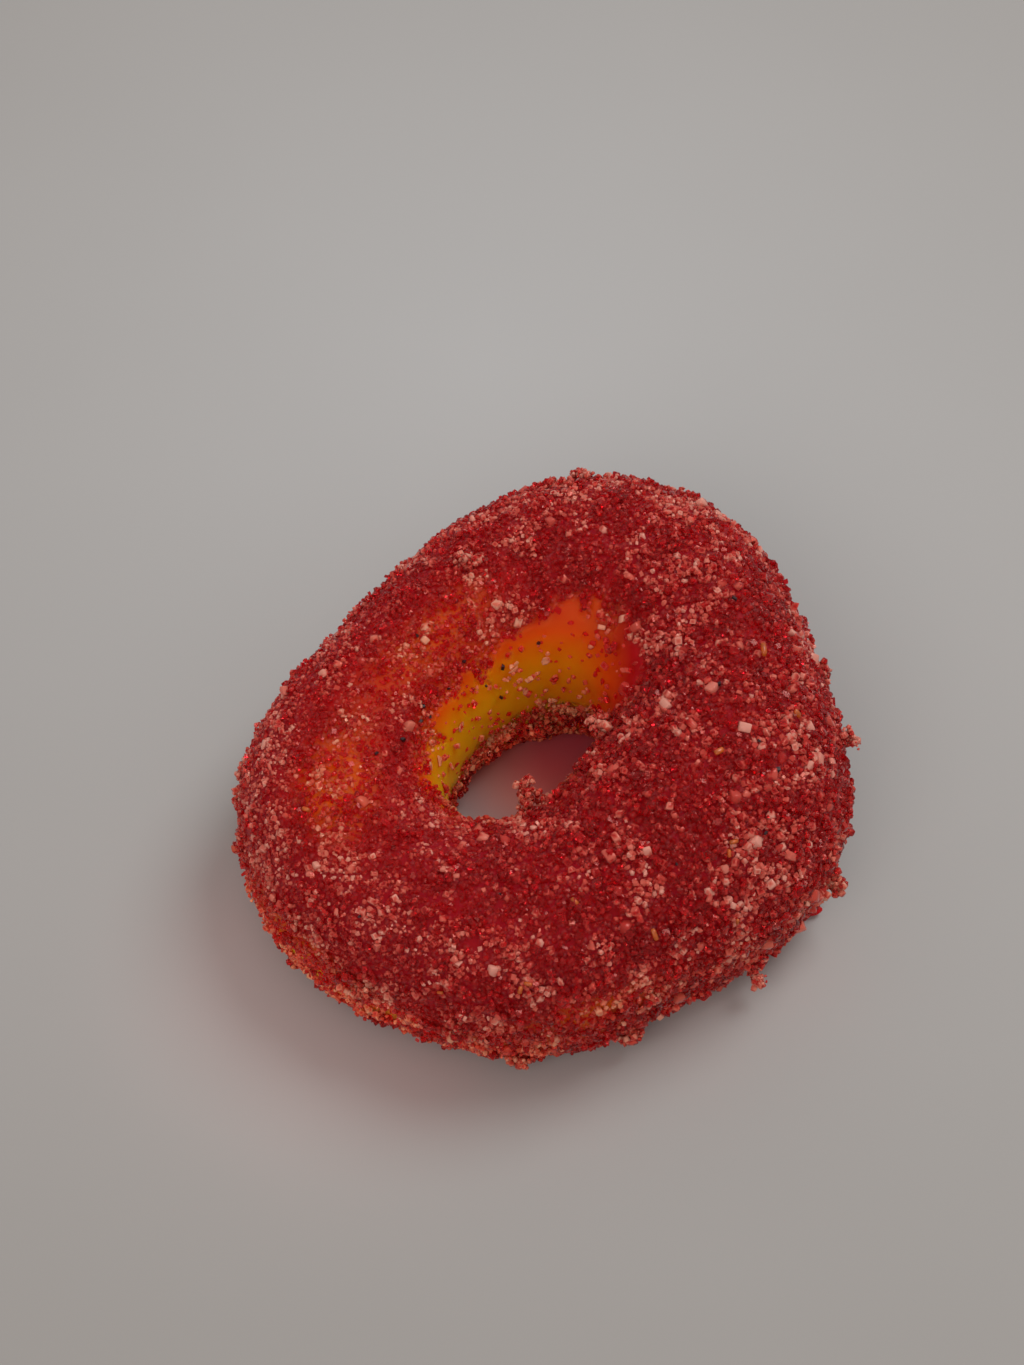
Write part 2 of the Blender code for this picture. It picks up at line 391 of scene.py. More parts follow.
def gelMaterial():
    material, nodes, links, shader = newMaterial("gel")
    ramp = addRamp(nodes, gel["stops"])
    links.new(addAttribute(nodes, "hue").outputs["Fac"], ramp.inputs["Fac"])
    shader.inputs["Roughness"].default_value = gel["roughness"]
    shader.inputs["Subsurface Weight"].default_value = gel["softness"]
    shader.inputs["Subsurface Radius"].default_value = gel["softColours"]
    shader.inputs["Subsurface Scale"].default_value = gel["softDepth"]
    shader.inputs["IOR"].default_value = gel["refraction"]
    shader.inputs["Specular IOR Level"].default_value = gel["shine"]
    shader.inputs["Specular Tint"].default_value = gel["shineTint"]
    bed = nodes.new("ShaderNodeTexVoronoi")
    bed.inputs["Scale"].default_value = gel["bedScale"]
    links.new(nodes.new("ShaderNodeTexCoord").outputs["Object"], bed.inputs["Vector"])
    crumb = addRange(nodes, links, bed.outputs["Distance"], *gel["bedFade"])
    bedded = nodes.new("ShaderNodeMath")
    bedded.operation = "MULTIPLY"
    links.new(crumb, bedded.inputs[0])
    links.new(addAttribute(nodes, "crust").outputs["Fac"], bedded.inputs[1])
    share = nodes.new("ShaderNodeMath")
    share.operation = "MULTIPLY"
    share.inputs[1].default_value = gel["bedShare"]
    links.new(bedded.outputs["Value"], share.inputs[0])
    mix = nodes.new("ShaderNodeMix")
    mix.data_type = "RGBA"
    mix.inputs["B"].default_value = (*gel["bedTint"], 1)
    links.new(share.outputs["Value"], mix.inputs["Factor"])
    links.new(ramp.outputs["Color"], mix.inputs["A"])
    links.new(mix.outputs["Result"], shader.inputs["Base Color"])
    bump = nodes.new("ShaderNodeBump")
    bump.inputs["Strength"].default_value = gel["bedStrength"]
    bump.inputs["Distance"].default_value = gel["bedDepth"]
    links.new(bedded.outputs["Value"], bump.inputs["Height"])
    fine = nodes.new("ShaderNodeBump")
    fine.inputs["Strength"].default_value = gel["grainStrength"]
    fine.inputs["Distance"].default_value = gel["grainDepth"]
    grain = addNoise(nodes, links, gel["grainScale"], detail=4, roughness=0.6)
    links.new(grain.outputs["Fac"], fine.inputs["Height"])
    links.new(bump.outputs["Normal"], fine.inputs["Normal"])
    links.new(fine.outputs["Normal"], shader.inputs["Normal"])
    return material


def gelRelief(turn, along, points):
    # how far the gel's surface lies out of the smooth form, and how sugared it is
    sugared = ease(sugarCover(turn, along, points), crust["sprinkle"], crust["thinnest"])
    relief = gel["waveDepth"] * lumps(points, gel["waveSize"]) - gel["sunk"] * sugared
    relief += gel["rippleDepth"] * lumps(points, gel["rippleSize"], 7)
    return relief * np.clip(points[:, 2] / gel["calmHeight"], 0, 1), sugared


def makeGel():
    shape = bmesh.new()
    ring, radius = gel["draftRing"], gel["draftSection"]
    section = Matrix.Translation((ring, 0, 0)) @ Matrix.Rotation(math.pi / 2, 4, "X")
    bmesh.ops.create_circle(shape, segments=gel["stepsAlong"], radius=radius, matrix=section)
    bmesh.ops.spin(
        shape,
        geom=shape.verts[:] + shape.edges[:],
        cent=(0, 0, 0),
        axis=(0, 0, 1),
        angle=2 * math.pi,
        steps=gel["stepsAround"],
        use_merge=True,
    )
    places = np.array([vertex.co[:] for vertex in shape.verts])
    turn = np.arctan2(places[:, 1], places[:, 0])
    angle = np.arctan2(places[:, 2], np.hypot(places[:, 0], places[:, 1]) - ring) % (2 * math.pi)
    along = np.interp(angle / (2 * math.pi), gel["draftEdges"], (0, 1, 2, 3, 4, 5))
    smooth = skinPoint(turn, along)
    normal = skinNormal(turn, along)
    relief, sugared = gelRelief(turn, along, smooth)
    points = smooth + normal * relief[:, None]
    crown = ringForm["crownHeight"]
    points[:, 2] += gel["backLift"] * np.clip(1 - points[:, 2] / crown, 0, 1)
    for vertex, point in zip(shape.verts, points.tolist()):
        vertex.co = point
    bmesh.ops.recalc_face_normals(shape, faces=shape.faces)
    mesh = bpy.data.meshes.new("gel_body")
    shape.to_mesh(mesh)
    shape.free()
    mesh.shade_smooth()
    pointAttribute(mesh, "hue", gelHue(turn, along))
    pointAttribute(mesh, "crust", sugared)
    return meshObject("gel_body", mesh, gelMaterial())


# The sugar. Sizes are in metres. A kind's pieces come in a few shapes that a loop turns and stretches.
# cuts: corners cut off. round: share of its shapes that are rounded. broad: faces larger than this get a
# middle point. room: share of its size that a grain keeps clear. lift: how far out it lies, in half sizes.
# tone: how pale it starts. patchy: how much the crust's thin places thin it out.
sugarKinds = {
    "sugar_coarse": {
        "count": 260, "size": (0.00052, 0.00072), "seed": 11,
        "cuts": 2, "bevel": 0.07, "round": 0.3, "thickness": (0.6, 0.95),
        "room": 0.8, "lift": (-0.1, 0.25), "tilt": 0.7, "tone": 0.3, "patchy": 1.0,
    },
    "sugar_blocks": {
        "count": 4600, "size": (0.00032, 0.00051), "seed": 12,
        "cuts": 0, "bevel": 0.12, "round": 0.7, "thickness": (0.6, 0.95),
        "room": 0.74, "lift": (-0.1, 0.45), "tilt": 0.8, "tone": 0.07, "patchy": 0.8,
    },
    "sugar_slabs": {
        "count": 3000, "size": (0.00034, 0.00054), "seed": 13,
        "cuts": 0, "bevel": 0.1, "round": 0.6, "thickness": (0.35, 0.55),
        "room": 0.56, "lift": (0.0, 0.6), "tilt": 0.7, "tone": 0.07, "patchy": 0.7,
    },
    "sugar_chips": {
        "count": 7700, "size": (0.00023, 0.0004), "seed": 14,
        "cuts": 2, "bevel": 0, "round": 0.5, "thickness": (0.6, 1.0), "broad": 0.4,
        "room": 0.6, "lift": (-0.1, 0.7), "tilt": 1.0, "tone": -0.03, "patchy": 0.1,
    },
    "sugar_crumbs": {
        "count": 4200, "size": (0.00022, 0.00036), "seed": 18,
        "cuts": 1, "bevel": 0, "round": 0.8, "thickness": (0.5, 0.9), "broad": 0.4,
        "room": 0.45, "lift": (0.1, 1.0), "tilt": 1.0, "tone": 0.0, "patchy": 0.0,
    },
    "sugar_fine": {
        "count": 10800, "size": (0.00015, 0.00027), "seed": 15,
        "cuts": 1, "bevel": 0, "round": 0.0, "thickness": (0.6, 1.0), "broad": 9,
        "room": 0.5, "lift": (0.0, 0.9), "tilt": 2.0, "tone": -0.04, "patchy": 0.0,
    },
    "sugar_grit": {
        "count": 11500, "size": (0.00012, 0.0002), "seed": 16,
        "cuts": 0, "bevel": 0, "round": 0.0, "thickness": (0.6, 1.0), "broad": 9,
        "room": 0.3, "lift": (0.0, 1.2), "tilt": 2.0, "tone": 0.0, "patchy": 0.0,
    },
}
shapesOfAKind = 10
grainForm = {  # a grain's shape before its size is given, when it is about 1 long
    "sides": (6, 7),
    "roundFoot": 0.54,
    "roundTop": (0.32, 0.42),
    "roundHeight": 0.8,
    "uneven": 0.07,
    "slant": 0.25,
    "taper": (0.72, 1.0),
    "width": (0.65, 1.0),
    "cutPlace": (0.6, 0.8),  # share of the way out to a corner
    "broad": 0.09,
    "downward": -0.3,  # faces that look further down than this stay plain
    "dent": -0.03,
    "dome": 0.02,
}


def crystalShape(kind, draw):
    form = grainForm
    shape = bmesh.new()
    rounded = draw.random() < kind["round"]
    if rounded:
        sides, top = draw.choice(form["sides"]), draw.uniform(*form["roundTop"])
        bmesh.ops.create_cone(
            shape, cap_ends=True, segments=sides,
            radius1=form["roundFoot"], radius2=top, depth=form["roundHeight"],
        )
        for vertex in shape.verts:
            vertex.co += Vector([draw.uniform(-form["uneven"], form["uneven"]) for _ in range(3)])
    else:
        bmesh.ops.create_cube(shape, size=1.0)
    slant, taper = draw.uniform(-form["slant"], form["slant"]), draw.uniform(*form["taper"])
    for vertex in shape.verts:
        if vertex.co.z > 0:
            vertex.co.x = vertex.co.x * taper + slant
            vertex.co.y *= taper
    width = draw.uniform(*kind.get("width", form["width"]))
    stretch = Vector((1.0, width, draw.uniform(*kind["thickness"])))
    bmesh.ops.scale(shape, vec=stretch, verts=shape.verts)
    for _ in range(0 if rounded else kind["cuts"]):
        corner = draw.choice(shape.verts[:]).co.copy()
        cut = bmesh.ops.bisect_plane(
            shape,
            geom=shape.verts[:] + shape.edges[:] + shape.faces[:],
            plane_co=corner * draw.uniform(*form["cutPlace"]),
            plane_no=corner.normalized(),
            clear_outer=True,
        )
        edges = [item for item in cut["geom_cut"] if isinstance(item, bmesh.types.BMEdge)]
        bmesh.ops.contextual_create(shape, geom=edges)
        shape.verts.ensure_lookup_table()
    if kind["bevel"] and not rounded:
        bmesh.ops.bevel(
            shape, geom=shape.edges[:], offset=kind["bevel"], offset_type="OFFSET",
            affect="EDGES", segments=1, profile=0.5, material=-1, clamp_overlap=True,
        )
    bmesh.ops.recalc_face_normals(shape, faces=shape.faces)
    edgeVertices = len(shape.verts)
    least = kind.get("broad", form["broad"])
    broad = [face for face in shape.faces if face.calc_area() > least and face.normal.z > form["downward"]]
    bmesh.ops.poke(shape, faces=broad, offset=form["dent"] if rounded else form["dome"])
    bmesh.ops.triangulate(shape, faces=shape.faces)
    shape.verts.index_update()
    corners = np.array([vertex.co[:] for vertex in shape.verts])
    faces = np.array([[vertex.index for vertex in face.verts] for face in shape.faces])
    shape.free()
    # painted light: a grain's edges are painted paler, a painted bright rim, and the middles of its faces
    # are painted deeper with the gel seen through them
    paintedRims = np.where(np.arange(len(corners)) < edgeVertices, sugarLook["paintedRimLight"], -sugarLook["paintedDeepMiddle"])
    return corners, faces, paintedRims


laying = {
    "drawsPerGrain": 14,  # places drawn for each grain that is laid
    "usualSize": 0.93,
    "sizeChange": 0.15,
    "coarseSide": 295,  # finer on the limb's far left, coarser on the right and near side
    "pileHeight": 0.00036,
    "pileSize": 0.0013,
    "pileFade": (0.05, 0.4),
    "stretch": (0.85, 1.15),
    "dryTone": 0.6,
    "drySpread": (0.4, 1.0),
    "oddTone": 0.5,  # for the few that are pale anywhere
    "orangeTone": 0.25,  # paler where the gel is orange
    "orangeFade": (0.4, 0.8),
    "orangeEnd": 2.3,  # place along the section
    "thinTone": 0.2,  # deeper in the crust's thin places
}


def areaDraw(count, rng):
    # even draws over the skin: a place counts by the area it stands for
    draws = count * laying["drawsPerGrain"]
    turn, along = rng.uniform(0, 2 * math.pi, draws), rng.uniform(0, 5, draws)
    area = np.linalg.norm(np.cross(*skinSlopes(turn, along)), axis=1)
    keep = rng.uniform(0, 1, len(area)) < area / area.max()
    return turn[keep], along[keep]


def grainSizeHere(turn):
    return laying["usualSize"] + laying["sizeChange"] * np.cos(turn - math.radians(laying["coarseSide"]))


def spacedOut(points, sizes, room, others):
    # keeps the places that leave each grain its room, among its own kind and those laid before
    tree = None
    if others:
        tree = kdtree.KDTree(len(others))
        for number, (point, _) in enumerate(others):
            tree.insert(point, number)
        tree.balance()
    cell = room * sizes.max()
    taken, kept = {}, []
    for number, (point, size) in enumerate(zip(points.tolist(), sizes.tolist())):
        if tree:
            _, index, distance = tree.find(point)
            if distance < room * 0.5 * (size + others[index][1]):
                continue
        key = tuple(int(value // cell) for value in point)
        near = [
            other
            for dx in (-1, 0, 1) for dy in (-1, 0, 1) for dz in (-1, 0, 1)
            for other in taken.get((key[0] + dx, key[1] + dy, key[2] + dz), ())
        ]
        if all(math.dist(point, place) > room * 0.5 * (size + width) for place, width in near):
            taken.setdefault(key, []).append((point, size))
            kept.append(number)
    return np.array(kept)


def layOut(kind, others):
    rng = np.random.default_rng(kind["seed"])
    turn, along = areaDraw(kind["count"], rng)
    points = skinPoint(turn, along)
    keep = rng.uniform(0, 1, len(turn)) < sugarCover(turn, along, points, kind["patchy"])
    turn, along, points = turn[keep], along[keep], points[keep]
    sizes = rng.uniform(*kind["size"], len(turn)) * grainSizeHere(turn)
    kept = spacedOut(points, sizes, kind["room"], others)[: kind["count"]]
    turn, along, points, sizes = turn[kept], along[kept], points[kept], sizes[kept]
    normals = skinNormal(turn, along)
    pile = laying["pileHeight"] * ease(lumps(points, laying["pileSize"], 11), *laying["pileFade"])
    pile *= rng.uniform(0, 1, len(turn))
    lift = rng.uniform(*kind["lift"], len(turn)) * sizes * 0.5 + gelRelief(turn, along, points)[0] + pile
    middles = points + normals * lift[:, None]
    dry = grainDryness(turn, along, points)
    hues = gelHue(turn, along)
    tones = kind["tone"] + laying["dryTone"] * dry * rng.uniform(*laying["drySpread"], len(turn))
    tones += laying["oddTone"] * rng.uniform(0, 1, len(turn)) ** 2
    paler = laying["orangeTone"] * ease(hues, *laying["orangeFade"]) * (along < laying["orangeEnd"])
    tones += paler - laying["thinTone"] * placesSum(turn, along, crust["thinPlaces"])
    return {
        "middles": middles, "normals": normals, "sizes": sizes,
        "tones": np.clip(tones, 0, 1), "hues": hues,
    }


def joinGrains(name, kind, grains, material):
    draw, rng = random.Random(kind["seed"]), np.random.default_rng(kind["seed"] + 100)
    middles, normals, sizes, tones, hues = grains.values()
    shapes = [crystalShape(kind, draw) for _ in range(shapesOfAKind)]
    tilted = unit(normals + kind["tilt"] * rng.uniform(-1, 1, normals.shape))
    aside = unit(np.cross(tilted, rng.normal(size=normals.shape)))
    turned = np.stack([aside, np.cross(tilted, aside), tilted], axis=2)
    stretch = rng.uniform(*laying["stretch"], (len(sizes), 3)) * sizes[:, None]
    allPoints, allFaces, allTones, allHues = [], [], [], []
    start = 0
    for number, (corners, faces, paintedRims) in enumerate(shapes):
        mine = np.arange(number, len(sizes), shapesOfAKind)
        local = corners[None] * stretch[mine][:, None]
        points = np.einsum("nij,nvj->nvi", turned[mine], local) + middles[mine][:, None]
        points[:, :, 2] -= np.minimum(points[:, :, 2].min(axis=1), 0)[:, None]  # none lies below the table
        allPoints.append(points.reshape(-1, 3))
        offsets = start + np.arange(len(mine)) * len(corners)
        allFaces.append((faces[None] + offsets[:, None, None]).reshape(-1, 3))
        # each corner's tone takes the painted rims and painted deep middles
        allTones.append(np.clip(tones[mine][:, None] + paintedRims[None], 0, 1).ravel())
        allHues.append(np.repeat(hues[mine], len(corners)))
        start += len(mine) * len(corners)
    points, faces = np.concatenate(allPoints), np.concatenate(allFaces)
    mesh = bpy.data.meshes.new(name)
    mesh.vertices.add(len(points))
    mesh.vertices.foreach_set("co", points.astype(np.float32).ravel())
    mesh.loops.add(faces.size)
    mesh.loops.foreach_set("vertex_index", faces.astype(np.int32).ravel())
    mesh.polygons.add(len(faces))
    mesh.polygons.foreach_set("loop_start", np.arange(0, faces.size, 3, dtype=np.int32))
    mesh.update(calc_edges=True)
    if kind["bevel"]:
        mesh.shade_smooth()
    else:
        mesh.shade_flat()
    pointAttribute(mesh, "tone", np.concatenate(allTones))
    pointAttribute(mesh, "hue", np.concatenate(allHues))
    print(f"{name}: {len(sizes)} grains, {len(faces)} triangles")
    return meshObject(name, mesh, material)


sugarLook = {
    "tones": (  # from grains wet with gel to dry ones
        (0.0, (0.86, 0.003, 0.022)),
        (0.4, (0.95, 0.032, 0.04)),
        (0.6, (0.86, 0.11, 0.08)),
        (0.8, (0.96, 0.25, 0.175)),
        (1.0, (1.0, 0.5, 0.38)),
    ),
    "warmTint": ((0.0, (1.0, 0.86, 0.92)), (0.5, (1.0, 0.86, 0.6)), (1.0, (1.0, 0.95, 0.6))),  # by hue
    "clearness": ((0.0, 0.92), (0.4, 0.85), (0.6, 0.5), (1.0, 0.35)),  # by tone
    # painted light: grain edges painted paler as a bright rim, face middles painted deeper
    "paintedRimLight": 0.16,
    "paintedDeepMiddle": 0.2,
    "roughness": 0.1,
    "refraction": 1.44,
    "shine": 0.35,
    "shineTint": (1.0, 0.42, 0.36, 1.0),
    "sheen": 0.1,
    "sheenTint": (1.0, 0.5, 0.42, 1.0),
}


def sugarMaterial():
    material, nodes, links, shader = newMaterial("sugar")
    tone = addAttribute(nodes, "tone")
    tones = addRamp(nodes, sugarLook["tones"])
    tints = addRamp(nodes, sugarLook["warmTint"])
    clear = addRamp(nodes, [(place, (value, value, value)) for place, value in sugarLook["clearness"]])
    links.new(tone.outputs["Fac"], tones.inputs["Fac"])
    links.new(tone.outputs["Fac"], clear.inputs["Fac"])
    links.new(addAttribute(nodes, "hue").outputs["Fac"], tints.inputs["Fac"])
    colour = multiplied(nodes, links, tones.outputs["Color"], tints.outputs["Color"])
    links.new(colour, shader.inputs["Base Color"])
    links.new(clear.outputs["Color"], shader.inputs["Transmission Weight"])
    shader.inputs["Roughness"].default_value = sugarLook["roughness"]
    shader.inputs["IOR"].default_value = sugarLook["refraction"]
    shader.inputs["Specular IOR Level"].default_value = sugarLook["shine"]
    shader.inputs["Specular Tint"].default_value = sugarLook["shineTint"]
    shader.inputs["Sheen Weight"].default_value = sugarLook["sheen"]
    shader.inputs["Sheen Tint"].default_value = sugarLook["sheenTint"]
    return material


# The clumps that stand out of the crust, where the solid has them
clumps = {
    "seed": 7,
    "size": (0.00045, 0.00066),
    "spread": 0.3,
    "places": (  # angle, place along the section, crystals, share of a size from one to the next
        (136, 0.17, 4, 0.16),
        (38, 0.48, 4, 0.16),
        (67, 0.96, 4, 0.15),
        (332, 0.26, 5, 0.2),
        (317, 0.22, 5, 0.17),
        (294, 4.85, 8, 0.2),
        (274, 4.6, 5, 0.2),
        (244, 4.6, 5, 0.2),
        (220, 4.6, 6, 0.2),
        (190, 0.1, 3, 0.15),
        (314, 1.75, 6, 0.2),
        (227, 1.65, 9, 0.28),
        (40, 2.3, 6, 0.15),
    ),
    "crumbs": 10,  # smaller crystals round each
    "crumbReach": (0.9, 1.9),  # how far from the top and from the lowest crystal's middle, in its own sizes
    "crumbSizes": (0.3, 0.8),  # against the crystal's own size
    "crumbNearest": 0.4,
    "crumbRise": 0.5,  # how far out of the skin they go, in the same sizes
    "tones": (0.35, 1.0),
}


def clumpGrains():
    draw = random.Random(clumps["seed"])
    middles, normals, sizes, hues, depths = [], [], [], [], []
    for at, along, count, rise in clumps["places"]:
        place = np.array([math.radians(at)]), np.array([float(along)])
        normal = skinNormal(*place)[0]
        middle = skinPoint(*place)[0]
        hue = gelHue(*place)[0]
        for number in range(count):
            size = draw.uniform(*clumps["size"])
            aside = np.array([draw.uniform(-1, 1) for _ in range(3)])
            middle = middle + (normal * rise + aside * clumps["spread"]) * size
            middle[2] = max(middle[2], size)
            middles.append(middle.copy())
            sizes.append(size)
            normals.append(normal)
            hues.append(hue)
            depths.append(1 - number / count)
    rng = np.random.default_rng(clumps["seed"])
    for number in range(len(sizes)):
        for _ in range(clumps["crumbs"]):
            away = unit(rng.normal(size=(1, 3)))[0]
            widest = np.interp(depths[number], (0, 1), clumps["crumbReach"])
            flatter = 1 - clumps["crumbRise"] / widest
            aside = away - np.dot(away, normals[number]) * flatter * normals[number]
            reach = rng.uniform(clumps["crumbNearest"], widest)
            middles.append(middles[number] + aside * reach * sizes[number])
            sizes.append(sizes[number] * rng.uniform(*clumps["crumbSizes"]))
            normals.append(away)
            hues.append(hues[number])
    return {
        "middles": np.array(middles), "normals": np.array(normals), "sizes": np.array(sizes),
        "tones": rng.uniform(*clumps["tones"], len(sizes)), "hues": np.array(hues),
    }


def makeSugar(material):
    pieces = []
    others = []
    for name, kind in sugarKinds.items():
        grains = layOut(kind, others)
        pieces.append(joinGrains(name, kind, grains, material))
        others += list(zip(grains["middles"].tolist(), grains["sizes"].tolist()))
    pieces.append(joinGrains("sugar_clumps", sugarKinds["sugar_blocks"], clumpGrains(), material))
    return pieces


# Odd bits in the crust: dark specks of painted shade in the gaps between grains, crumbs of orange gel and
# thin clear flakes
bitKinds = {
    "dark_specks": {
        "size": (0.00013, 0.00026), "seed": 21,
        "cuts": 2, "bevel": 0, "round": 0, "thickness": (0.5, 0.9),
        "tilt": 1.5, "lift": 0.35,
        "places": (  # angle round the ring, place along the section
            (131.6, 1.48), (128, 1.41), (136, 1.44), (110.6, 1.48), (91.6, 1.43), (146.6, 1.35), (152, 1.2),
            (301.6, 0.87), (296.6, 0.74), (283, 0.6), (262, 0.75), (318, 1.05), (66, 1.63), (84, 1.66),
            (40, 1.6), (72, 1.8), (215, 0.95), (185, 0.6), (346, 0.9), (100, 1.1),
        ),
    },
    "orange_bits": {
        "size": (0.0004, 0.00062), "seed": 22,
        "cuts": 0, "bevel": 0.1, "round": 0, "width": (0.32, 0.5), "thickness": (0.3, 0.4),
        "tilt": 0.3, "lift": 0.5,
        "places": (
            (220.6, 0.43), (222, 0.46), (273.6, 0.65), (276, 0.68), (234.6, 0.83), (328.6, 0.83),
            (312, 0.7), (250, 0.5), (205, 0.35), (294, 1.0), (160, 0.8), (268, 0.3),
        ),
    },
    "clear_flakes": {
        "size": (0.00045, 0.0007), "seed": 23,
        "cuts": 3, "bevel": 0, "round": 0.6, "width": (0.5, 1.0), "thickness": (0.1, 0.16),
        "tilt": 0.25, "lift": 0.03,
        "places": (
            (56.6, 1.7), (47.6, 1.87), (52, 1.78), (156.6, 1.61), (150, 1.7), (120, 1.75), (67, 0.96),
            (69, 0.9), (64, 1.0), (34, 1.72),
        ),
    },
}
bitTones = (0.7, 1.0)
bitLooks = {
    # painted shade: near-black grains that stand for the shade in gaps of the crust
    "painted_gap_shade": {"colour": (0.035, 0.008, 0.01), "roughness": 0.35, "clearness": 0.0},
    "orange_gel": {"colour": (0.85, 0.16, 0.01), "roughness": 0.3, "clearness": 0.4},
}
bitSpots = {"scale": 5000, "fade": (0.35, 0.65), "darkest": 0.6}

# The scrap of gel at the foot
scrap = {
    "middle": (0.006, -0.0141, 0.00038),  # from the ring's own centre
    "halfSizes": (0.0013, 0.0004, 0.00038),
    "way": -37,  # degrees from +X
    "roughness": 0.00007,
    "lumpSize": 0.0004,
    "hue": 0.16,
}


def bitGrains(kind):
    rng = np.random.default_rng(kind["seed"])
    degrees, along = (np.array(values, dtype=float) for values in zip(*kind["places"]))
    turn = np.radians(degrees)
    normals = skinNormal(turn, along)
    sizes = rng.uniform(*kind["size"], len(turn))
    middles = skinPoint(turn, along) + normals * (kind["lift"] * sizes)[:, None]
    return {
        "middles": middles, "normals": normals, "sizes": sizes,
        "tones": rng.uniform(*bitTones, len(turn)), "hues": gelHue(turn, along),
    }


def makeScrap(material):
    shape = bmesh.new()
    bmesh.ops.create_icosphere(shape, subdivisions=4, radius=1.0)
    bmesh.ops.scale(shape, vec=scrap["halfSizes"], verts=shape.verts)
    for vertex in shape.verts:
        vertex.co += vertex.normal * scrap["roughness"] * noise.noise(vertex.co / scrap["lumpSize"])
    lowest = min(vertex.co.z for vertex in shape.verts)
    place = Vector(scrap["middle"]) + Vector((*ringForm["middle"], 0))
    place.z = -lowest
    turned = Matrix.Rotation(math.radians(scrap["way"]), 4, "Z")
    bmesh.ops.transform(shape, matrix=Matrix.Translation(place) @ turned, verts=shape.verts)
    mesh = bpy.data.meshes.new("gel_scrap")
    shape.to_mesh(mesh)
    shape.free()
    mesh.shade_smooth()
    pointAttribute(mesh, "hue", np.full(len(mesh.vertices), scrap["hue"]))
    pointAttribute(mesh, "crust", np.zeros(len(mesh.vertices)))
    return meshObject("gel_scrap", mesh, material)


def bitMaterial(name):
    look = bitLooks[name]
    material, nodes, links, shader = newMaterial(name)
    low, high = bitSpots["fade"]
    dark = tuple(bitSpots["darkest"] * value for value in look["colour"])
    spots = addRamp(nodes, ((low, dark), (high, look["colour"])))
    links.new(addNoise(nodes, links, bitSpots["scale"]).outputs["Fac"], spots.inputs["Fac"])
    links.new(spots.outputs["Color"], shader.inputs["Base Color"])
    shader.inputs["Roughness"].default_value = look["roughness"]
    shader.inputs["Transmission Weight"].default_value = look["clearness"]
    return material


def makeBits(name, material):
    kind = bitKinds[name]
    return joinGrains(name, kind, bitGrains(kind), material)


# The studio
studio = {
    "floorSize": 2.4,
    "floorColour": (0.455, 0.443, 0.43),
    "paintedFalloffColour": (0.345, 0.322, 0.3),  # painted shade: the table's colour painted darker where the light on it falls off
    "floorMottle": 0.985,  # the darkest of its faint clouds
    "mottleFade": (0.35, 0.65),
    "mottleScale": 45,
    "floorRoughness": 0.55,
    "floorShine": 0.3,
    "paintedLightPool": ((-0.005, 0.034), 0.07),  # painted pool of light on the table: picture's right and away, and how far the painted light falls off
    "skyColour": (1.0, 0.955, 0.95),
    "skyStrength": 0.48,
    "keyPlace": (0.30, 0.24, 0.55),
    "keySize": 0.36,
    "keyPower": 2.1,
    "keyColour": (0.93, 0.98, 1.0),
    "fillPlace": (-0.2, -0.37, 0.42),
    "fillSize": 0.4,
    "fillPower": 0.8,
    "fillColour": (1.0, 0.93, 0.9),
    "glowColour": (1.0, 0.1, 0.08),  # light that the clear gel lets through to the table
    "glowFoot": 4.9,  # place along the section from which their distance out is counted
    "glows": (  # angle round the ring, metres out of the rim, height, size, power
        (150, 0, 0.0036, 0.007, 0.00002),
        (168, 0.002, 0.005, 0.01, 0.0001),
        (187, 0.002, 0.005, 0.01, 0.0001),
        (206, 0, 0.0036, 0.007, 0.00003),
        (230, 0, 0.0036, 0.007, 0.00002),
        (256, 0, 0.0036, 0.007, 0.00002),
        (282, 0, 0.0036, 0.007, 0.00002),
    ),
    "softGlowColour": (1.0, 0.45, 0.45),
    "paintedRedLightSpot": (0.0046, 0.0031, 0),  # painted light: the table's colour is painted red where light through the gel falls in the hole; here the painted red light is reddest
    "paintedRedLightReach": 0.01,
    "paintedRedLightStops": (
        (0, (1.0, 0.14, 0.2)),
        (0.25, (1.0, 0.25, 0.28)),
        (0.57, (1.0, 0.6, 0.52)),
        (1, (1.0, 1.0, 1.0)),
    ),
    "holeGlow": ((-0.0002, 0.0024), 0.0035, 0.004, 0.00004),  # place in the hole, height, size, power
}
view = {
    "azimuth": -44.41,
    "elevation": 58.92,
    "distance": 0.130,
    "aimFromRing": (-1.0, 0.14, 5.5),  # mm from the ring's own centre: right, away and up in the picture
    "aimPixel": (528, 772),
    "imagePixels": (1024, 1365),
    "pixelsPerMetre": 18000,  # at the aim point
}


def inFrame(right, away, up):
    # from the picture's right, away and up to the frame's axes
    turned = Matrix.Rotation(math.radians(view["azimuth"]), 3, "Z") @ Vector((right, away, 0))
    return Vector((turned.x, turned.y, up))


def areaLight(name, place, aim, size, power, colour):
    light = bpy.data.lights.new(name, "AREA")
    light.shape = "DISK"
    light.size = size
    light.energy = power
    light.color = colour
    made = bpy.data.objects.new(name, light)
    made.location = place
    made.rotation_euler = (Vector(aim) - made.location).to_track_quat("-Z", "Y").to_euler()
    bpy.context.scene.collection.objects.link(made)
    return made


def makeGlow():
    # weak red lamps that nothing but their light shows
    lamps = []
    for number, (at, out, height, size, power) in enumerate(studio["glows"]):
        turn = np.array([math.radians(at)])
        rim = skinPoint(turn, np.array([studio["glowFoot"]]))[0]
        place = Vector((rim[0] + out * math.cos(turn[0]), rim[1] + out * math.sin(turn[0]), height))
        colour = studio["softGlowColour"] if out else studio["glowColour"]
        lamps.append(areaLight(f"glow_{number}", place, (place.x, place.y, 0), size, power, colour))
    (x, y), height, size, power = studio["holeGlow"]
    lamps.append(areaLight("glow_hole", (x, y, height), (x, y, 0), size, power, studio["glowColour"]))
    for lamp in lamps:
        lamp.visible_camera = False
        lamp.visible_glossy = False
        lamp.visible_transmission = False


